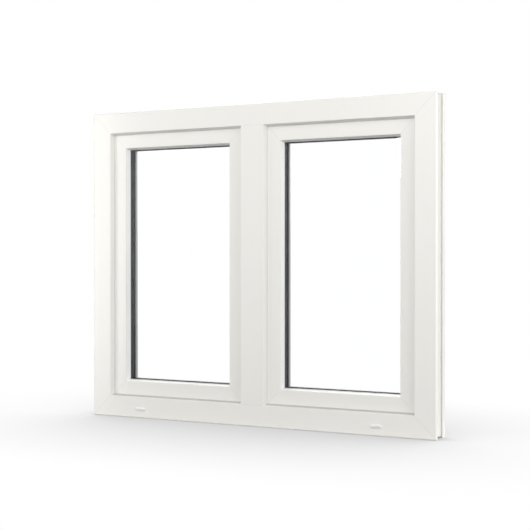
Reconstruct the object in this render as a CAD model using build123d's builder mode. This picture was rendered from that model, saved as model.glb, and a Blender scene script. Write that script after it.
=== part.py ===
"""White uPVC window with two glazed sashes either side of a fixed mullion.

Millimetres. X runs along the window, +Y points into the room, +Z is up. The origin is on the underside of
the sill, at mid width and in the middle of its broad foot. Depths in the profiles are measured from the
outside face of the frame, and widths inwards from the outer edge of the frame, sash or bead they belong to.
"""
import os
from build123d import *

# Outer frame
window_width = 1190.0
window_height = 1000.0
frame_depth = 76.0

# Frame profile: flat outside face, leaning lip, rebate for the sash, fixing recess round the outer edge
frame_face = 67.5
lip_run = 5.0
lip_depth = 16.0
rebate_drop = 27.0
edge_flange = 6.5
edge_foot = 23.0
edge_recess_depth = 6.7
frame_edge_radius = 5.5
lip_edge_radius = 1.5
mullion_face = 78.5

# Sash profile: outside face, leaning glazing lip, glazing rebate, flange that laps the frame indoors
rebate_clearance = 12.0
seal_gap = 3.0
sash_face = 59.5
glazing_lip_run = 5.5
glazing_lip_depth = 18.0
glazing_rebate = 18.0
overlap = 20.0
overlap_thickness = 12.0
hardware_axis = 13.0
hardware_groove_width = 12.0
hardware_groove_depth = 9.0
sash_edge_radius = 1.5
overlap_radius = 3.0

# Sealed glass unit and what holds it
pane_thickness = 4.0
cavity = 18.0
glass_clearance = 5.0
spacer_setback = 2.0
spacer_height = 8.0
outer_gasket = 3.0
inner_gasket = 4.0
glazing_gasket_width = 8.5
bead_recess = 2.0
bead_radius = 10.0

# Weather seals between frame and sash, and the roots that hold seals and gaskets in their grooves
lip_seal_reach = 0.8
lip_seal_width = 11.0
lap_seal_setback = 1.5
lap_seal_width = 6.0
gasket_setback = 0.5
root_width = 3.0
root_depth = 4.0
root_clearance = 0.1

# Drain caps on the sill
cap_length = 38.0
cap_height = 14.0
cap_depth = 5.0
cap_taper = 38.0
cap_plate = 1.2
cap_hood_drop = 1.0
cap_from_side = 185.0
cap_centre_height = 28.5
drain_slot_length = 28.0
drain_slot_height = 5.0
drain_slot_depth = 12.0
cap_plug_depth = 7.0
cap_plug_clearance = 0.15

# Handles indoors, on the stiles beside the mullion
rose_width = 32.0
rose_height = 72.0
rose_depth = 11.0
rose_corner_radius = 10.0
rose_edge_chamfer = 2.0
neck_radius = 9.0
neck_length = 24.0
lever_length = 128.0
lever_rise = 12.0
lever_thickness = 14.0
lever_width = 24.0
lever_tip_thickness = 11.0
lever_tip_width = 19.0
lever_edge_radius = 4.5
lever_end_chamfer = 4.0

# Hinges indoors, on the jambs
hinge_height = 66.0
hinge_radius = 8.0
hinge_gap = 1.5
hinge_inset = 70.0
hinge_leaf = 3.0
hinge_leaf_reach = 22.0
hinge_leaf_height = 40.0
hinge_leaf_chamfer = 4.0
hinge_foot_width = 13.0
hinge_end_chamfer = 2.0

# Planes and levels that follow from the sizes above
edge_recess_end = frame_depth - edge_foot
outside_y = edge_foot / 2 - frame_depth
lip_reach = frame_face + lip_run
rebate_floor = lip_reach - rebate_drop
sash_inset = rebate_floor + rebate_clearance
sash_outside = lip_depth + seal_gap
overlap_outside = frame_depth + seal_gap
sash_inside = overlap_outside + overlap_thickness
glazing_lip = sash_face + glazing_lip_run
glazing_floor = glazing_lip - glazing_rebate
glazing_seat = sash_outside + glazing_lip_depth
glass_outside = glazing_seat + outer_gasket
glass_inside = glass_outside + 2 * pane_thickness + cavity
bead_outside = glass_inside + inner_gasket
bead_inside = sash_inside - bead_recess
glass_edge = glazing_floor + glass_clearance
mullion_stem = mullion_face + 2 * (lip_run - rebate_drop)

# Outer edges of the sashes as (left, right, bottom, top)
sash_far = window_width / 2 - sash_inset
sash_near = mullion_stem / 2 + rebate_clearance
sashes = {
    "left": (-sash_far, -sash_near, sash_inset, window_height - sash_inset),
    "right": (sash_near, sash_far, sash_inset, window_height - sash_inset),
}

os.makedirs("parts", exist_ok=True)


def save(part, node):
    """Label a finished piece and write it under its node's name."""
    part.label = node
    export_step(part, f"parts/{node}.step")


def facing_plane(depth):
    """A plane parallel to the window at a depth behind the outside face, seen from outdoors."""
    return Plane(origin=(0, outside_y + depth, 0), x_dir=(1, 0, 0), z_dir=(0, -1, 0))


def inset(rectangle, amount):
    """A rectangle (left, right, bottom, top) with every side moved inwards."""
    left, right, bottom, top = rectangle
    return left + amount, right - amount, bottom + amount, top - amount


def side_edge(rectangle, side):
    """Middle, inward direction and length of one side of a rectangle on the outside face."""
    left, right, bottom, top = rectangle
    mid_x = (left + right) / 2
    mid_z = (bottom + top) / 2
    sides = {
        "bottom": ((mid_x, bottom), Vector(0, 0, 1), right - left),
        "top": ((mid_x, top), Vector(0, 0, -1), right - left),
        "left": ((left, mid_z), Vector(1, 0, 0), top - bottom),
        "right": ((right, mid_z), Vector(-1, 0, 0), top - bottom),
    }
    (x, z), inward, length = sides[side]
    return Vector(x, outside_y, z), inward, length


def mitred_bar(rectangle, side, outline, rounds, reach=0.0):
    """A profile along one side of a rectangle, cut at 45 degrees where it meets its neighbours.

    The outline is (inward, depth) points, rounds pairs some of them with a radius, and reach is how far
    the profile laps outwards past the rectangle.
    """
    middle, inward, length = side_edge(rectangle, side)
    along = inward.cross(Vector(0, 1, 0))
    with BuildPart() as bar:
        with BuildSketch(Plane(origin=middle, x_dir=inward, z_dir=along)) as section:
            with BuildLine():
                Polyline(*outline, close=True)
            make_face()
            for corner, radius in rounds:
                fillet(section.vertices().sort_by_distance(Vector(*corner))[0], radius)
        extrude(amount=length / 2 + reach, both=True)
        for end in (1, -1):
            corner = middle + along * (end * length / 2)
            split(bisect_by=Plane(origin=corner, z_dir=inward + along * end), keep=Keep.BOTTOM)
    return bar.part


def flat_ring(rectangle, width, depth, thickness):
    """A rectangular ring, such as a glass spacer, lying parallel to the glass."""
    left, right, bottom, top = rectangle
    with BuildPart() as ring:
        with BuildSketch(facing_plane(depth)):
            with Locations(((left + right) / 2, (bottom + top) / 2)):
                Rectangle(right - left, top - bottom)
                Rectangle(right - left - 2 * width, top - bottom - 2 * width, mode=Mode.SUBTRACT)
        extrude(amount=-thickness)
    return ring.part


def rooted_ring(rectangle, width, depth, thickness, root_indoors):
    """A seal or gasket ring with a root, indoors or outdoors of it, that sits in a groove of the profile."""
    root_edge = inset(rectangle, (width - root_width) / 2 + root_clearance)
    root_length = root_depth - root_clearance
    root_start = depth + thickness if root_indoors else depth - root_length
    with BuildPart() as ring:
        add(flat_ring(rectangle, width, depth, thickness))
        add(flat_ring(root_edge, root_width - 2 * root_clearance, root_start, root_length))
    return ring.part


def root_groove(middle, depth, into):
    """Outline points of a root's groove in a flank at a depth, from its higher to its lower inward side."""
    high = middle + root_width / 2
    low = middle - root_width / 2
    floor = depth + into * root_depth
    return [(high, depth), (high, floor), (low, floor), (low, depth)]


def pane(rectangle, depth):
    """One sheet of float glass."""
    left, right, bottom, top = rectangle
    with BuildPart() as sheet:
        with BuildSketch(facing_plane(depth)):
            with Locations(((left + right) / 2, (bottom + top) / 2)):
                Rectangle(right - left, top - bottom)
        extrude(amount=-pane_thickness)
    return sheet.part


# Outer frame: four welded bars of one profile
frame_rectangle = (-window_width / 2, window_width / 2, 0.0, window_height)
lip_front = (frame_face, 0.0)
lip_back = (lip_reach, lip_depth)
lip_seal_middle = lip_reach + lip_seal_reach - lip_seal_width / 2
frame_outline = [
    (0.0, 0.0),
    lip_front,
    lip_back,
    *root_groove(lip_seal_middle, lip_depth, -1),
    (rebate_floor, lip_depth),
    (rebate_floor, frame_depth),
    (0.0, frame_depth),
    (0.0, edge_recess_end),
    (edge_recess_depth, edge_recess_end),
    (edge_recess_depth, edge_flange),
    (0.0, edge_flange),
]
frame_rounds = [
    ((0.0, 0.0), frame_edge_radius),
    (lip_front, lip_edge_radius),
    (lip_back, lip_edge_radius / 2),
    ((0.0, frame_depth), lip_edge_radius / 2),
]
for side in ("left", "right"):
    save(mitred_bar(frame_rectangle, side, frame_outline, frame_rounds), f"frame_{side}_jamb")
plain_head = mitred_bar(frame_rectangle, "top", frame_outline, frame_rounds)
plain_sill = mitred_bar(frame_rectangle, "bottom", frame_outline, frame_rounds)

# Channels in which the lip seals' roots turn the corners beside the mullion
lip_seal_edges = {}
seal_channels = []
for hand, sash in sashes.items():
    lip_seal_edges[hand] = inset(sash, lip_reach + lip_seal_reach - lip_seal_width - sash_inset)
    channel_edge = inset(lip_seal_edges[hand], (lip_seal_width - root_width) / 2)
    seal_channels.append(flat_ring(channel_edge, root_width, lip_depth - root_depth, root_depth))

with BuildPart() as frame_head:
    add(plain_head)
    add(seal_channels, mode=Mode.SUBTRACT)
save(frame_head.part, "frame_head")

# Sill: the bottom bar with two drain slots through its outside wall
cap_places = [(end * (window_width / 2 - cap_from_side), cap_centre_height) for end in (-1, 1)]
with BuildPart() as frame_sill:
    add(plain_sill)
    add(seal_channels, mode=Mode.SUBTRACT)
    with BuildSketch(facing_plane(0)):
        with Locations(*cap_places):
            SlotOverall(drain_slot_length, drain_slot_height)
    extrude(amount=-drain_slot_depth, mode=Mode.SUBTRACT)
save(frame_sill.part, "frame_sill")

# Mullion: a T profile between the lights, with its ends coped over the head and the sill
mullion_lip_front = (mullion_face / 2, 0.0)
mullion_lip_back = (mullion_face / 2 + lip_run, lip_depth)
mullion_half = [
    (0.0, 0.0),
    mullion_lip_front,
    mullion_lip_back,
    *root_groove(mullion_face / 2 + lip_seal_middle - frame_face, lip_depth, -1),
    (mullion_stem / 2, lip_depth),
    (mullion_stem / 2, frame_depth),
    (0.0, frame_depth),
]
with BuildPart() as mullion:
    with BuildSketch(Plane((0, outside_y, rebate_floor))) as mullion_section:
        with BuildLine():
            Polyline(*mullion_half, close=True)
        make_face()
        fillet(mullion_section.vertices().sort_by_distance(Vector(*mullion_lip_front))[0], lip_edge_radius)
        fillet(mullion_section.vertices().sort_by_distance(Vector(*mullion_lip_back))[0], lip_edge_radius / 2)
        mirror(about=Plane.YZ)
    extrude(amount=window_height - 2 * rebate_floor)
    add(plain_head, mode=Mode.SUBTRACT)
    add(plain_sill, mode=Mode.SUBTRACT)
    add(seal_channels, mode=Mode.SUBTRACT)
save(mullion.part, "mullion")

# Drain caps: low hoods over the slots, open below, each held by a plug
for place, node in zip(cap_places, ("left_drain_cap", "right_drain_cap")):
    with BuildPart() as drain_cap:
        with BuildSketch(facing_plane(0)):
            with Locations(place):
                SlotOverall(cap_length, cap_height)
        extrude(amount=cap_depth, taper=cap_taper)
        with BuildSketch(facing_plane(-cap_plate)):
            with Locations((place[0], place[1] - cap_hood_drop)):
                Rectangle(cap_length, cap_height, align=(Align.CENTER, Align.MAX))
        extrude(amount=cap_depth, mode=Mode.SUBTRACT)
        with BuildSketch(facing_plane(0)):
            with Locations(place):
                Rectangle(drain_slot_length - drain_slot_height, drain_slot_height - 2 * cap_plug_clearance)
        extrude(amount=-cap_plug_depth)
    save(drain_cap.part, node)

# Sash profile and glazing bead, shared by both sashes
sash_front = (sash_face, sash_outside)
sash_lip = (glazing_lip, glazing_seat)
sash_corner = (-overlap, sash_inside)
gasket_middle = glazing_lip - gasket_setback - glazing_gasket_width / 2
lap_seal_middle = -overlap + lap_seal_setback + lap_seal_width / 2
hardware_groove_end = overlap_outside - hardware_axis + hardware_groove_width / 2
hardware_groove_start = hardware_groove_end - hardware_groove_width
sash_outline = [
    (0.0, sash_outside),
    sash_front,
    sash_lip,
    *root_groove(gasket_middle, glazing_seat, -1),
    (glazing_floor, glazing_seat),
    (glazing_floor, sash_inside),
    sash_corner,
    (-overlap, overlap_outside),
    *reversed(root_groove(lap_seal_middle, overlap_outside, 1)),
    (0.0, overlap_outside),
    (0.0, hardware_groove_end),
    (hardware_groove_depth, hardware_groove_end),
    (hardware_groove_depth, hardware_groove_start),
    (0.0, hardware_groove_start),
]
sash_rounds = [
    (sash_front, sash_edge_radius),
    (sash_lip, sash_edge_radius / 2),
    (sash_corner, overlap_radius),
]
bead_corner = (glazing_rebate, bead_inside)
bead_outline = [
    (0.0, bead_outside),
    *reversed(root_groove(gasket_middle - glazing_floor, bead_outside, 1)),
    (glazing_rebate, bead_outside),
    bead_corner,
    (0.0, bead_inside),
]
bead_rounds = [(bead_corner, bead_radius)]

stile_names = {
    "left": {"left": "hinge_stile", "right": "lock_stile", "top": "top_rail", "bottom": "bottom_rail"},
    "right": {"left": "lock_stile", "right": "hinge_stile", "top": "top_rail", "bottom": "bottom_rail"},
}

for hand, sash in sashes.items():
    glass = inset(sash, glass_edge)
    sightline = inset(sash, glazing_lip)
    bead_seat = inset(sash, glazing_floor)

    # Sash bars and the glazing beads that clip into them indoors
    for side, name in stile_names[hand].items():
        save(mitred_bar(sash, side, sash_outline, sash_rounds, overlap), f"{hand}_sash_{name}")
        save(mitred_bar(bead_seat, side, bead_outline, bead_rounds), f"{hand}_sash_{side}_bead")

    # Sealed unit: two panes on a spacer, between an outer and an inner gasket
    save(pane(glass, glass_outside), f"{hand}_outer_pane")
    save(pane(glass, glass_inside - pane_thickness), f"{hand}_inner_pane")
    spacer_edge = inset(sightline, -spacer_setback - spacer_height)
    save(flat_ring(spacer_edge, spacer_height, glass_outside + pane_thickness, cavity), f"{hand}_glass_spacer")
    gasket_edge = inset(sightline, -glazing_gasket_width - gasket_setback)
    outer_ring = rooted_ring(gasket_edge, glazing_gasket_width, glazing_seat, outer_gasket, False)
    inner_ring = rooted_ring(gasket_edge, glazing_gasket_width, glass_inside, inner_gasket, True)
    save(outer_ring, f"{hand}_outer_glazing_gasket")
    save(inner_ring, f"{hand}_inner_glazing_gasket")

    # Weather seals: behind the frame's lip, and under the flange that laps the frame indoors
    lap_seal_edge = inset(sash, -overlap + lap_seal_setback)
    save(rooted_ring(lip_seal_edges[hand], lip_seal_width, lip_depth, seal_gap, False), f"{hand}_frame_seal")
    save(rooted_ring(lap_seal_edge, lap_seal_width, frame_depth, seal_gap, True), f"{hand}_lap_seal")

# Handles: a rose with a short neck on the lock stile, and a lever hanging from it
stile_middle = (glazing_floor - overlap) / 2
handle_height = window_height / 2
for hand, end in (("left", -1), ("right", 1)):
    axis = (end * (sash_near + stile_middle), handle_height)
    with BuildPart() as handle_rose:
        with BuildSketch(facing_plane(sash_inside)):
            with Locations(axis):
                RectangleRounded(rose_width, rose_height, rose_corner_radius)
        extrude(amount=-rose_depth)
        chamfer(handle_rose.faces().sort_by(Axis.Y)[-1].edges(), rose_edge_chamfer)
        with BuildSketch(facing_plane(sash_inside + rose_depth)):
            with Locations(axis):
                Circle(neck_radius)
        extrude(amount=-neck_length)
    save(handle_rose.part, f"{hand}_handle_rose")

    lever_back = sash_inside + rose_depth + neck_length
    lever_side_plane = Plane((axis[0], outside_y + lever_back, axis[1]), x_dir=(0, 1, 0), z_dir=(1, 0, 0))
    with BuildPart() as handle_lever:
        with BuildSketch(facing_plane(lever_back)) as lever_front:
            with Locations(axis):
                Polygon(
                    (lever_width / 2, lever_rise),
                    (-lever_width / 2, lever_rise),
                    (-lever_tip_width / 2, -lever_length),
                    (lever_tip_width / 2, -lever_length),
                    align=None,
                )
            chamfer(lever_front.vertices(), lever_end_chamfer)
        extrude(amount=-lever_thickness)
        with BuildSketch(lever_side_plane) as lever_side:
            Polygon(
                (0, lever_rise),
                (0, -lever_length),
                (lever_tip_thickness, -lever_length),
                (lever_thickness, lever_rise),
                align=None,
            )
            chamfer(lever_side.vertices().sort_by(Axis.X)[2:], lever_end_chamfer)
        extrude(amount=lever_width / 2, both=True, mode=Mode.INTERSECT)
        long_edges = handle_lever.edges().filter_by(lambda edge: edge.length > lever_length / 2)
        fillet(long_edges, lever_edge_radius)
    save(handle_lever.part, f"{hand}_handle_lever")

# Hinges: a barrel beside the sash flange, with a foot on the jamb and a leaf on the sash
hinge_levels = {"lower": sash_inset + hinge_inset, "upper": window_height - sash_inset - hinge_inset - hinge_height}
barrel_depth = sash_inside + hinge_leaf - hinge_radius
leaf_width = hinge_radius + hinge_gap + hinge_leaf_reach
for hand, end in (("left", -1), ("right", 1)):
    barrel_x = end * (sash_far + overlap + hinge_gap + hinge_radius)
    for level, bottom in hinge_levels.items():
        with BuildPart() as hinge:
            with BuildSketch(Plane((barrel_x, outside_y, bottom))):
                with Locations((0, barrel_depth)):
                    Circle(hinge_radius)
            extrude(amount=hinge_height)
            chamfer(hinge.edges().filter_by(GeomType.CIRCLE), hinge_end_chamfer)
            with BuildSketch(Plane((barrel_x, outside_y, bottom + hinge_end_chamfer))):
                with Locations((0, frame_depth)):
                    Rectangle(hinge_foot_width, barrel_depth - frame_depth, align=(Align.CENTER, Align.MIN))
            extrude(amount=hinge_height - 2 * hinge_end_chamfer)
            with BuildSketch(facing_plane(sash_inside)):
                with Locations((barrel_x - end * leaf_width / 2, bottom + hinge_height / 2)):
                    leaf = Rectangle(leaf_width, hinge_leaf_height)
                chamfer(leaf.vertices(), hinge_leaf_chamfer)
            extrude(amount=-hinge_leaf)
        save(hinge.part, f"{hand}_{level}_hinge")
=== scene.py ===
"""White uPVC window with two glazed sashes: finishes, small fittings, studio floor, lights and camera.

Metres, in the frame of the solids: X runs along the window, +Y points into the room and +Z is up.
"""
import math
import bpy
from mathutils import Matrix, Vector


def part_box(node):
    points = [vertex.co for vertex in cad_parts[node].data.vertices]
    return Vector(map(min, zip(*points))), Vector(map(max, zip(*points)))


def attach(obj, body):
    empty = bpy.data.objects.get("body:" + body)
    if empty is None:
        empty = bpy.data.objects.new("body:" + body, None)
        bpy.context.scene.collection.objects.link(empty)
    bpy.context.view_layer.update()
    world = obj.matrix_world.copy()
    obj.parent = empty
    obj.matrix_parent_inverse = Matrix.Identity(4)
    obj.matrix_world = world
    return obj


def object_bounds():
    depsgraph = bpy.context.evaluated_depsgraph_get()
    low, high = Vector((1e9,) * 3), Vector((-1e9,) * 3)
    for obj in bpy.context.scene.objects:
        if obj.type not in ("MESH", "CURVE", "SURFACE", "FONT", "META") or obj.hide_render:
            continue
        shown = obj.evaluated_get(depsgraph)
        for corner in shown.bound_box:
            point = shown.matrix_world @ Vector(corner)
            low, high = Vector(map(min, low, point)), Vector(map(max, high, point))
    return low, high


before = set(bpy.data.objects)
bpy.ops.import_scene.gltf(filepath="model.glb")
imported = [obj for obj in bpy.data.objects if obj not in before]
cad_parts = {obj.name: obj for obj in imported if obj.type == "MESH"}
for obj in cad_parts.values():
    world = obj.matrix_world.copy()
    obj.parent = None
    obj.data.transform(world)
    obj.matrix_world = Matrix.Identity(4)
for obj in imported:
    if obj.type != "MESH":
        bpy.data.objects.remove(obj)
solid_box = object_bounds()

# Camera: place, turn and focal length that fit the picture's edges, for a square picture
picture_pixels = 530
focal_pixels = 1119.4
sensor_width = 36.0
camera_place = Vector((1.60127, -3.12953, 0.52329))
camera_turn = math.radians(26.912)
camera_dip = math.radians(0.378)

# Studio: ambient light, softboxes as (place, aim, width, height, watts), and the floor
ambient_strength = 0.14
softboxes = {
    "front_softbox": ((0.2, -4.4, 2.0), (0.0, 0.0, 0.5), 2.4, 1.8, 75.5),
    "key_softbox": ((3.4, -2.0, 1.2), (0.3, 0.0, 0.5), 1.8, 1.8, 33.0),
    "high_softbox": ((1.6, -2.8, 3.0), (0.0, 0.0, 0.6), 1.8, 1.8, 33.0),
    "left_softbox": ((-2.4, -2.1, 1.1), (-0.4, 0.0, 0.5), 1.6, 2.0, 22.5),
    "back_softbox": ((-0.6, 1.5, 3.2), (0.0, 0.0, 0.5), 2.6, 1.6, 62.0),
    "room_softbox": ((0.0, 4.4, 1.7), (0.0, 0.0, 0.5), 2.4, 1.8, 72.0),
    "side_softbox": ((3.9, 0.9, 0.75), (0.6, 0.0, 0.5), 2.0, 1.4, 49.5),
    "grazing_softbox": ((4.2, -0.9, 1.0), (0.0, 0.0, 0.5), 1.4, 1.4, 16.5),
    "edge_strip": ((-0.675, -0.25, 0.54), (-0.675, 0.0, 0.54), 0.06, 1.15, 0.32),
}
floor_size = 30.0
base_reach = (0.068, 0.10)
floor_bounce = (0.27, 0.27, 0.27, 1.0)
floor_bounce_near = (0.58, 0.58, 0.58, 1.0)
shadow_reach = 0.82
shadow_grey = (0.31, 0.31, 0.31, 1.0)

# Colours, and the glass's refractive index
frame_white = (0.882, 0.867, 0.820, 1.0)
frame_white_cool = (0.870, 0.861, 0.824, 1.0)
# the sashes' whites are a little darker than the frame's: painted shade on the recessed sashes
sash_white = (0.858, 0.844, 0.800, 1.0)
sash_white_cool = (0.847, 0.839, 0.804, 1.0)
# painted light on the sashes' slopes towards the glass
slope_painted_light = (0.930, 0.930, 0.906, 1.0)
# grey of the beads' sealing lip, which also stands in as painted shade on the beads
bead_lip_grey_and_shade = (0.36, 0.36, 0.36, 1.0)
weld_grey = (0.70, 0.70, 0.68, 1.0)
fitting_white = (0.86, 0.86, 0.84, 1.0)
pale_rubber = (0.80, 0.81, 0.82, 1.0)
pale_rubber_worn = (0.74, 0.75, 0.77, 1.0)
grey_rubber = (0.78, 0.78, 0.76, 1.0)
grey_rubber_worn = (0.72, 0.72, 0.70, 1.0)
# painted shade on the frame seal's lowest run
seal_painted_shade = (0.60, 0.60, 0.59, 1.0)
# painted shade on the sill's ledge and at the foot of the sashes' glass
ledge_painted_shade = (0.52, 0.51, 0.48, 1.0)
# painted shade on the wall in the frame's outer groove
groove_painted_shade = (0.55, 0.55, 0.54, 1.0)
dark_rubber = (0.030, 0.031, 0.034, 1.0)
dark_rubber_worn = (0.048, 0.049, 0.052, 1.0)
spacer_grey = (0.030, 0.032, 0.035, 1.0)
spacer_hole = (0.012, 0.012, 0.013, 1.0)
clear_tint = (0.998, 1.0, 0.999, 1.0)
lamp_tint = (0.95, 0.95, 0.95, 1.0)
screw_zinc = (0.42, 0.42, 0.41, 1.0)
screw_zinc_dull = (0.30, 0.30, 0.30, 1.0)
plain_white = (1.0, 1.0, 1.0, 1.0)
glass_index = 1.18

# Marks on the surfaces: where lines, bands, painted shade and painted light begin and end, and a hole's length
# as a share of its pitch
weld_width = (0.0005, 0.0018)
joint_width = (0.0003, 0.0011)
split_width = (0.0002, 0.0005)
lip_blur = 0.0004
slope_blur = 0.0006
groove_outer = (0.0010, 0.0020)
groove_inner = (0.0042, 0.0052)
groove_wall_width = (0.0008, 0.0014)
ledge_top = (0.004, 0.005)
seal_shade_blur = 0.001
hole_pitch = 0.004
hole_row = 0.004
hole_length = (0.10, 0.16)
hole_width = (0.0004, 0.0007)

# Places on the solids: the mullion's face joints, the frame's foot, the sill's ledge, the seal's lowest run,
# the sash's slope and the foot of its glass, a bead's sealing lip, a hinge's knuckles and the rose's depth
face_joint = 0.0675
foot_depth = 0.023
sill_ledge = (0.0676, 0.0706)
seal_run = 0.012
slope_start = 0.0797
glass_foot = (0.1200, 0.1216)
bead_lip_depth = 0.0120
knuckle = 0.012
rose_depth = 0.011

# Sizes of the hinge screws and the handles' collars
screw_radius = 0.0042
screw_height = 0.0024
screw_rim = 0.0011
screw_spread = 0.011
screw_lift = 0.0003
recess_length = 0.0050
recess_width = 0.0010
recess_depth = 0.0020
leaf_middle = 0.011
collar_radius = 0.0118
collar_height = 0.0024
collar_rim = 0.0010
collar_lift = 0.0010


class Signal:
    """A shader socket that Python expressions can work on."""

    def __init__(self, book, socket):
        self.book = book
        self.socket = socket

    def __add__(self, other):
        return self.book.maths("ADD", self, other)

    def __radd__(self, other):
        return self.book.maths("ADD", other, self)

    def __sub__(self, other):
        return self.book.maths("SUBTRACT", self, other)

    def __rsub__(self, other):
        return self.book.maths("SUBTRACT", other, self)

    def __mul__(self, other):
        return self.book.maths("MULTIPLY", self, other)

    def __rmul__(self, other):
        return self.book.maths("MULTIPLY", other, self)

    def __truediv__(self, other):
        return self.book.maths("DIVIDE", self, other)

    def __abs__(self):
        return self.book.maths("ABSOLUTE", self)

    def least(self, other):
        return self.book.maths("MINIMUM", self, other)

    def most(self, other):
        return self.book.maths("MAXIMUM", self, other)

    def fade(self, start, end):
        """1 up to start, 0 from end on, and smooth between them."""
        settings = {"interpolation_type": "SMOOTHSTEP"}
        inputs = {"Value": self, "From Min": start, "From Max": end, "To Min": 1.0, "To Max": 0.0}
        return self.book.node("ShaderNodeMapRange", settings, inputs)


class NodeBook:
    """The nodes of one material, or of the world."""

    def __init__(self, tree):
        self.tree = tree
        tree.nodes.clear()

    def node(self, kind, settings=None, inputs=None, output=0):
        """A node of that type: its settings are made first, then its sockets are filled or linked."""
        made = self.tree.nodes.new(kind)
        for name, value in (settings or {}).items():
            setattr(made, name, value)
        for name, value in (inputs or {}).items():
            if isinstance(value, Signal):
                self.tree.links.new(value.socket, made.inputs[name])
            else:
                made.inputs[name].default_value = value
        return Signal(self, made.outputs[output])

    def maths(self, operation, *values):
        return self.node("ShaderNodeMath", {"operation": operation}, dict(enumerate(values)))

    def mixed_colour(self, factor, first, second):
        inputs = {0: factor, 6: first, 7: second}
        return self.node("ShaderNodeMix", {"data_type": "RGBA"}, inputs, output=2)

    def noise(self, place, stretch, detail=2.0):
        """Smooth noise from 0 to 1, with that many waves a metre along X, Y and Z."""
        mapped = self.node("ShaderNodeMapping", None, {"Vector": place, "Scale": stretch})
        return self.node("ShaderNodeTexNoise", None, {"Vector": mapped, "Scale": 1.0, "Detail": detail})

    def place(self):
        """Object coordinates, as a vector and as X, Y and Z."""
        vector = self.node("ShaderNodeTexCoord", output="Object")
        split = self.node("ShaderNodeSeparateXYZ", None, {"Vector": vector}).socket.node
        return vector, [Signal(self, socket) for socket in split.outputs]

    def relief(self, height):
        """A normal that follows a height in metres."""
        return self.node("ShaderNodeBump", None, {"Strength": 1.0, "Distance": 1.0, "Height": height})

    def light_path(self, name):
        return self.node("ShaderNodeLightPath", output=name)

    def shader(self, kind, **inputs):
        return self.node(kind, None, {name.replace("_", " "): value for name, value in inputs.items()})

    def mixed_shader(self, factor, first, second):
        return self.node("ShaderNodeMixShader", None, {0: factor, 1: first, 2: second})

    def end(self, shader, kind="ShaderNodeOutputMaterial"):
        made = self.tree.nodes.new(kind)
        self.tree.links.new(shader.socket, made.inputs["Surface"])


def new_finish(name):
    """A bare material and the book its nodes are written in."""
    material = bpy.data.materials.new(name)
    material.use_nodes = True
    return material, NodeBook(material.node_tree)


def moulded_white(
    name, run, tones, weld_lines=None, joint_levels=(), soft_lip=None,
    groove_wall=None, painted_shade_ledge=None, glazing_slope=None,
):
    """Extruded white uPVC: faint die lines along the run, a satin skin, and weld or joint lines.

    weld_lines is the outer edge (left, right, bottom, top) of the ring whose corners are welded on the
    45 degree lines, joint_levels are heights at which the piece butts against another, and soft_lip is the
    depth up to which a bead has its grey sealing lip, whose grey is also painted shade. groove_wall is the
    depth of the wall in the groove round the frame, which gets painted shade, and painted_shade_ledge the
    heights between which a ledge gets painted shade. glazing_slope is the distance from the ring's edge at
    which the painted light on the slope towards the glass begins.
    """
    material, book = new_finish(name)
    vector, (x, y, z) = book.place()
    cloud = book.noise(vector, (5.0, 5.0, 5.0))
    die_stretch = {"X": (3.0, 420.0, 420.0), "Z": (420.0, 420.0, 3.0)}
    die_lines = book.noise(vector, die_stretch[run], detail=1.0)
    skin = book.noise(vector, (1400.0, 1400.0, 1400.0), detail=1.0)
    colour = book.mixed_colour(cloud, *tones)
    height = die_lines * 6e-6 + skin * 3e-6
    line = None
    if weld_lines:
        left, right, bottom, top = weld_lines
        from_side = (x - left).least(right - x)
        from_level = (z - bottom).least(top - z)
        from_edge = from_side.least(from_level)
        line = abs(from_side - from_level).fade(*weld_width)
    # painted light on the slope towards the glass
    if glazing_slope is not None:
        slope = 1 - from_edge.fade(glazing_slope, glazing_slope + slope_blur)
        colour = book.mixed_colour(slope, colour, slope_painted_light)
    for level in joint_levels:
        joint = abs(z - level).fade(*joint_width)
        line = joint if line is None else line.most(joint)
    if line is not None:
        colour = book.mixed_colour(line * 0.5, colour, weld_grey)
        height = height - line * 8e-5
    # the bead's grey sealing lip, whose grey is also painted shade
    if soft_lip is not None:
        lip = y.fade(soft_lip - lip_blur, soft_lip + lip_blur)
        colour = book.mixed_colour(lip, colour, bead_lip_grey_and_shade)
    # painted shade on the wall in the groove round the frame
    if groove_wall is not None:
        in_groove = (1 - from_edge.fade(*groove_outer)) * from_edge.fade(*groove_inner)
        wall = abs(y - groove_wall).fade(*groove_wall_width) * in_groove
        colour = book.mixed_colour(wall, colour, groove_painted_shade)
    # painted shade on a ledge, fading out towards its front
    if painted_shade_ledge is not None:
        front, back = painted_shade_ledge
        soft_mask = (1 - z.fade(front, back)) * z.fade(back + ledge_top[0], back + ledge_top[1])
        colour = book.mixed_colour(soft_mask, colour, ledge_painted_shade)
    roughness = 0.30 + die_lines * 0.08 + cloud * 0.04
    book.end(book.shader(
        "ShaderNodeBsdfPrincipled",
        Base_Color=colour, Roughness=roughness, Normal=book.relief(height),
    ))
    return material


def rubber(name, colour, worn, painted_shade_below=None):
    """Gasket rubber: matt, with a fine bloom, a little unevenness, and painted shade below a height."""
    material, book = new_finish(name)
    vector, (_, _, z) = book.place()
    bloom = book.noise(vector, (60.0, 60.0, 60.0), detail=4.0)
    grain = book.noise(vector, (2200.0, 2200.0, 2200.0), detail=1.0)
    tone = book.mixed_colour(bloom, colour, worn)
    # painted shade on the run below that height
    if painted_shade_below is not None:
        tone = book.mixed_colour(z.fade(painted_shade_below - seal_shade_blur, painted_shade_below), tone, seal_painted_shade)
    book.end(book.shader(
        "ShaderNodeBsdfPrincipled",
        Base_Color=tone,
        Roughness=0.55 + bloom * 0.2,
        Normal=book.relief(grain * 8e-6),
    ))
    return material


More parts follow.
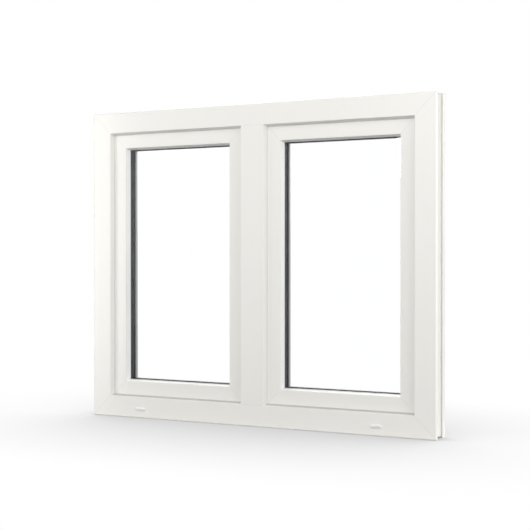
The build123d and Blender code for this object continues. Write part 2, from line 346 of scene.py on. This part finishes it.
def spacer_bar(name, middle):
    """Dark spacer between the panes, with its double row of breather holes towards the cavity."""
    material, book = new_finish(name)
    vector, (x, y, z) = book.place()
    along = (x + z) / hole_pitch
    cell = abs(book.maths("FRACT", along) - 0.5)
    row = abs(abs(y - middle) - hole_row)
    hole = cell.fade(*hole_length) * row.fade(*hole_width)
    soft_mask = book.noise(vector, (90.0, 90.0, 90.0), detail=3.0)
    book.end(book.shader(
        "ShaderNodeBsdfPrincipled",
        Base_Color=book.mixed_colour(hole, spacer_grey, spacer_hole),
        Roughness=0.42 + soft_mask * 0.2,
        Specular_IOR_Level=0.2,
        Normal=book.relief(hole * -3e-4),
    ))
    return material


def float_glass(name):
    """Clear float glass that lets the lamps through."""
    material, book = new_finish(name)
    glass = book.shader(
        "ShaderNodeBsdfPrincipled",
        Base_Color=clear_tint, Roughness=0.0, IOR=glass_index, Transmission_Weight=1.0,
    )
    clear = book.shader("ShaderNodeBsdfTransparent", Color=lamp_tint)
    passing = book.light_path("Is Shadow Ray").most(book.light_path("Is Diffuse Ray"))
    book.end(book.mixed_shader(passing, glass, clear))
    return material


def coated_white(name, split_levels=()):
    """Powder coat or moulding on the fittings: satin, with a fine orange peel and parting lines."""
    material, book = new_finish(name)
    vector, (_, _, z) = book.place()
    peel = book.noise(vector, (700.0, 700.0, 700.0), detail=2.0)
    cloud = book.noise(vector, (24.0, 24.0, 24.0))
    colour = book.mixed_colour(cloud, fitting_white, frame_white_cool)
    height = peel * 1.2e-5
    for level in split_levels:
        split = abs(z - level).fade(*split_width)
        colour = book.mixed_colour(split * 0.8, colour, weld_grey)
        height = height - split * 3e-4
    book.end(book.shader(
        "ShaderNodeBsdfPrincipled",
        Base_Color=colour, Roughness=0.26 + cloud * 0.08, Normal=book.relief(height),
    ))
    return material


def bright_zinc(name):
    """Zinc-plated steel of the hinge screws."""
    material, book = new_finish(name)
    vector, _ = book.place()
    brush = book.noise(vector, (300.0, 1800.0, 1800.0), detail=3.0)
    book.end(book.shader(
        "ShaderNodeBsdfPrincipled",
        Base_Color=book.mixed_colour(brush, screw_zinc, screw_zinc_dull),
        Metallic=1.0,
        Roughness=0.28 + brush * 0.14,
    ))
    return material


def faces_at_top(piece, height):
    """Selects the faces of a piece whose middle is above a height along Y, and goes into edit mode."""
    bpy.ops.object.mode_set(mode="EDIT")
    bpy.ops.mesh.select_all(action="DESELECT")
    bpy.ops.object.mode_set(mode="OBJECT")
    for polygon in piece.data.polygons:
        polygon.select = polygon.center.y > height
    bpy.ops.object.mode_set(mode="EDIT")
    bpy.ops.mesh.select_mode(type="FACE")


def turned_disc(name, radius, thickness, rim, finish):
    """A round disc at the origin, with its axis along Y and a rounded rim on its +Y face."""
    bpy.ops.object.select_all(action="DESELECT")
    bpy.ops.mesh.primitive_cylinder_add(
        vertices=48, radius=radius, depth=thickness, rotation=(-math.pi / 2, 0.0, 0.0),
    )
    disc = bpy.context.object
    disc.name = name
    bpy.ops.object.transform_apply(location=True, rotation=True, scale=True)
    faces_at_top(disc, 0.49 * thickness)
    bpy.ops.mesh.bevel(offset=rim, segments=4, affect="EDGES")
    bpy.ops.object.mode_set(mode="OBJECT")
    disc.data.materials.append(finish)
    return disc


def cut_slot(piece, size, place):
    """Cuts a box of that size out of a piece."""
    bpy.ops.object.select_all(action="DESELECT")
    bpy.ops.mesh.primitive_cube_add(size=1.0, location=place, scale=size)
    cutter = bpy.context.object
    bpy.ops.object.transform_apply(location=True, rotation=True, scale=True)
    bpy.ops.object.select_all(action="DESELECT")
    bpy.context.view_layer.objects.active = piece
    piece.select_set(True)
    cut = piece.modifiers.new("slot", "BOOLEAN")
    cut.operation = "DIFFERENCE"
    cut.object = cutter
    bpy.ops.object.modifier_apply(modifier=cut.name)
    bpy.data.objects.remove(cutter)


def put_copy(model, name, place):
    """A copy of a model at a place, with a mesh of its own, that goes with the window."""
    piece = model.copy()
    piece.data = model.data.copy()
    piece.name = name
    piece.location = place
    bpy.context.scene.collection.objects.link(piece)
    bpy.ops.object.select_all(action="DESELECT")
    bpy.context.view_layer.objects.active = piece
    piece.select_set(True)
    bpy.ops.object.transform_apply(location=True, rotation=True, scale=True)
    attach(piece, "root")


def ring_edges(*nodes):
    """Left, right, bottom and top of the box round some nodes."""
    corners = [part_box(node) for node in nodes]
    left = min(low[0] for low, high in corners)
    right = max(high[0] for low, high in corners)
    bottom = min(low[2] for low, high in corners)
    top = max(high[2] for low, high in corners)
    return left, right, bottom, top


def paint(finish, *nodes):
    """Gives a finish to all the slots of some nodes."""
    for node in nodes:
        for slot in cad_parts[node].material_slots:
            slot.material = finish


# Finishes of the frame: welded on the corners' 45 degree lines, with butt joints at the mullion's ends
frame_edges = ring_edges("frame_head", "frame_sill", "frame_left_jamb", "frame_right_jamb")
frame_tones = (frame_white, frame_white_cool)
sash_tones = (sash_white, sash_white_cool)
mullion_joints = (face_joint, frame_edges[3] - face_joint)
# the frame gets painted shade on the wall of its outer groove
foot_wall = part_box("frame_sill")[1][1] - foot_depth
# the sill gets painted shade on its ledge
level_frame = moulded_white(
    "level_frame_upvc", "X", frame_tones, frame_edges, groove_wall=foot_wall, painted_shade_ledge=sill_ledge,
)
upright_frame = moulded_white("upright_frame_upvc", "Z", frame_tones, frame_edges, groove_wall=foot_wall)
paint(level_frame, "frame_head", "frame_sill")
paint(upright_frame, "frame_left_jamb", "frame_right_jamb")
paint(moulded_white("mullion_upvc", "Z", frame_tones, joint_levels=mullion_joints), "mullion")

# Finishes of the sashes, their glass and their seals
pale_gasket = rubber("pale_gasket_rubber", pale_rubber, pale_rubber_worn)
# the frame seals get painted shade on their lowest run, along the sill
seal_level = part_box("left_frame_seal")[0][2] + seal_run
grey_gasket = rubber("grey_gasket_rubber", grey_rubber, grey_rubber_worn, painted_shade_below=seal_level)
dark_gasket = rubber("dark_gasket_rubber", dark_rubber, dark_rubber_worn)
spacer_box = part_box("left_glass_spacer")
spacer_middle = (spacer_box[0][1] + spacer_box[1][1]) / 2
spacer = spacer_bar("spacer_bar", spacer_middle)
glass = float_glass("float_glass")
fitting = coated_white("fitting_coat")
for hand in ("left", "right"):
    rails = [f"{hand}_sash_top_rail", f"{hand}_sash_bottom_rail"]
    stiles = [f"{hand}_sash_hinge_stile", f"{hand}_sash_lock_stile"]
    sash_edges = ring_edges(*rails, *stiles)
    level_beads = [f"{hand}_sash_top_bead", f"{hand}_sash_bottom_bead"]
    upright_beads = [f"{hand}_sash_left_bead", f"{hand}_sash_right_bead"]
    # the beads' grey lip, partly painted shade, reaches up to this depth
    bead_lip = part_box(level_beads[0])[0][1] + bead_lip_depth
    # the rails get painted shade at the foot of the glass
    for run, way, sides, ledge in (("X", "level", rails, glass_foot), ("Z", "upright", stiles, None)):
        # rails and stiles get painted light on their slopes to the glass
        sash_finish = moulded_white(
            f"{hand}_{way}_sash_upvc", run, sash_tones, sash_edges,
            painted_shade_ledge=ledge, glazing_slope=slope_start,
        )
        paint(sash_finish, *sides)
    for run, way, beads in (("X", "level", level_beads), ("Z", "upright", upright_beads)):
        bead_finish = moulded_white(f"{hand}_{way}_bead_upvc", run, sash_tones, sash_edges, soft_lip=bead_lip)
        paint(bead_finish, *beads)
    paint(glass, f"{hand}_outer_pane", f"{hand}_inner_pane")
    paint(spacer, f"{hand}_glass_spacer")
    paint(pale_gasket, f"{hand}_outer_glazing_gasket")
    paint(grey_gasket, f"{hand}_frame_seal")
    paint(dark_gasket, f"{hand}_inner_glazing_gasket", f"{hand}_lap_seal")
    paint(fitting, f"{hand}_drain_cap", f"{hand}_handle_rose", f"{hand}_handle_lever")
    for level in ("lower", "upper"):
        hinge_low, hinge_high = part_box(f"{hand}_{level}_hinge")
        splits = (hinge_low[2] + knuckle, hinge_high[2] - knuckle)
        paint(coated_white(f"{hand}_{level}_hinge_cover", splits), f"{hand}_{level}_hinge")

# Screws of the hinge leaves: pan heads with a cross recess, two on each leaf
screw = turned_disc("screw", screw_radius, screw_height, screw_rim, bright_zinc("screw_zinc"))
screw_top = (0.0, screw_height / 2, 0.0)
cut_slot(screw, (recess_length, recess_depth, recess_width), screw_top)
cut_slot(screw, (recess_width, recess_depth, recess_length), screw_top)
for hand in ("left", "right"):
    for level in ("lower", "upper"):
        hinge_low, hinge_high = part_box(f"{hand}_{level}_hinge")
        leaf_x = hinge_high[0] - leaf_middle if hand == "left" else hinge_low[0] + leaf_middle
        middle_z = (hinge_low[2] + hinge_high[2]) / 2
        for step, number in ((-1, "first"), (1, "second")):
            place = (leaf_x, hinge_high[1] + screw_lift, middle_z + step * screw_spread)
            put_copy(screw, f"{hand}_{level}_hinge_{number}_screw", place)
bpy.data.objects.remove(screw)

# Collars round the handles' necks
collar = turned_disc("collar", collar_radius, collar_height, collar_rim, fitting)
for hand in ("left", "right"):
    rose_low, rose_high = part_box(f"{hand}_handle_rose")
    rose_face = rose_low[1] + rose_depth
    rose_x = (rose_low[0] + rose_high[0]) / 2
    rose_z = (rose_low[2] + rose_high[2]) / 2
    place = (rose_x, rose_face + collar_lift, rose_z)
    put_copy(collar, f"{hand}_handle_collar", place)
bpy.data.objects.remove(collar)

# Floor: keeps the shadow for the camera, and is plain white in glass and gloss
bpy.ops.object.select_all(action="DESELECT")
bpy.ops.mesh.primitive_plane_add(size=floor_size, location=(0.0, 0.0, solid_box[0][2]))
floor = bpy.context.object
floor.name = "studio_floor"
floor_finish, book = new_finish("studio_floor")
_, (_, y, _) = book.place()
bounce = book.mixed_colour(abs(y).fade(*base_reach), floor_bounce, floor_bounce_near)
lit = book.shader("ShaderNodeBsdfDiffuse", Color=bounce)
openness = book.node("ShaderNodeAmbientOcclusion", {"samples": 16}, {"Distance": shadow_reach}, output="AO")
shaded = book.mixed_colour(openness, shadow_grey, plain_white)
seen = book.shader("ShaderNodeEmission", Color=shaded, Strength=1.0)
plain = book.shader("ShaderNodeEmission", Strength=1.0)
mirrored = book.light_path("Is Glossy Ray").most(book.light_path("Is Transmission Ray"))
for_camera = book.mixed_shader(book.light_path("Is Camera Ray"), lit, seen)
book.end(book.mixed_shader(mirrored, for_camera, plain))
floor.data.materials.append(floor_finish)

# World: soft ambient light, seen as plain white
world = bpy.data.worlds.new("studio_world")
bpy.context.scene.world = world
world.use_nodes = True
book = NodeBook(world.node_tree)
ambient = book.shader("ShaderNodeBackground", Color=plain_white, Strength=ambient_strength)
white = book.shader("ShaderNodeBackground", Color=plain_white, Strength=1.0)
mirrored = book.light_path("Is Glossy Ray").most(book.light_path("Is Transmission Ray"))
book.end(
    book.mixed_shader(mirrored.most(book.light_path("Is Camera Ray")), ambient, white),
    "ShaderNodeOutputWorld",
)

# Softboxes
for name, (place, aim, width, height, watts) in softboxes.items():
    lamp = bpy.data.lights.new(name, "AREA")
    lamp.shape = "RECTANGLE"
    lamp.size = width
    lamp.size_y = height
    lamp.energy = watts
    softbox = bpy.data.objects.new(name, lamp)
    softbox.location = place
    softbox.rotation_euler = (Vector(aim) - Vector(place)).to_track_quat("-Z", "Y").to_euler()
    softbox.visible_camera = False
    bpy.context.scene.collection.objects.link(softbox)

# Camera
camera_data = bpy.data.cameras.new("picture_camera")
camera_data.sensor_width = sensor_width
camera_data.lens = focal_pixels * sensor_width / picture_pixels
camera = bpy.data.objects.new("picture_camera", camera_data)
camera.location = camera_place
camera.rotation_euler = (math.pi / 2 - camera_dip, 0.0, camera_turn)
bpy.context.scene.collection.objects.link(camera)
bpy.context.scene.camera = camera
bpy.context.scene.view_settings.view_transform = "Standard"
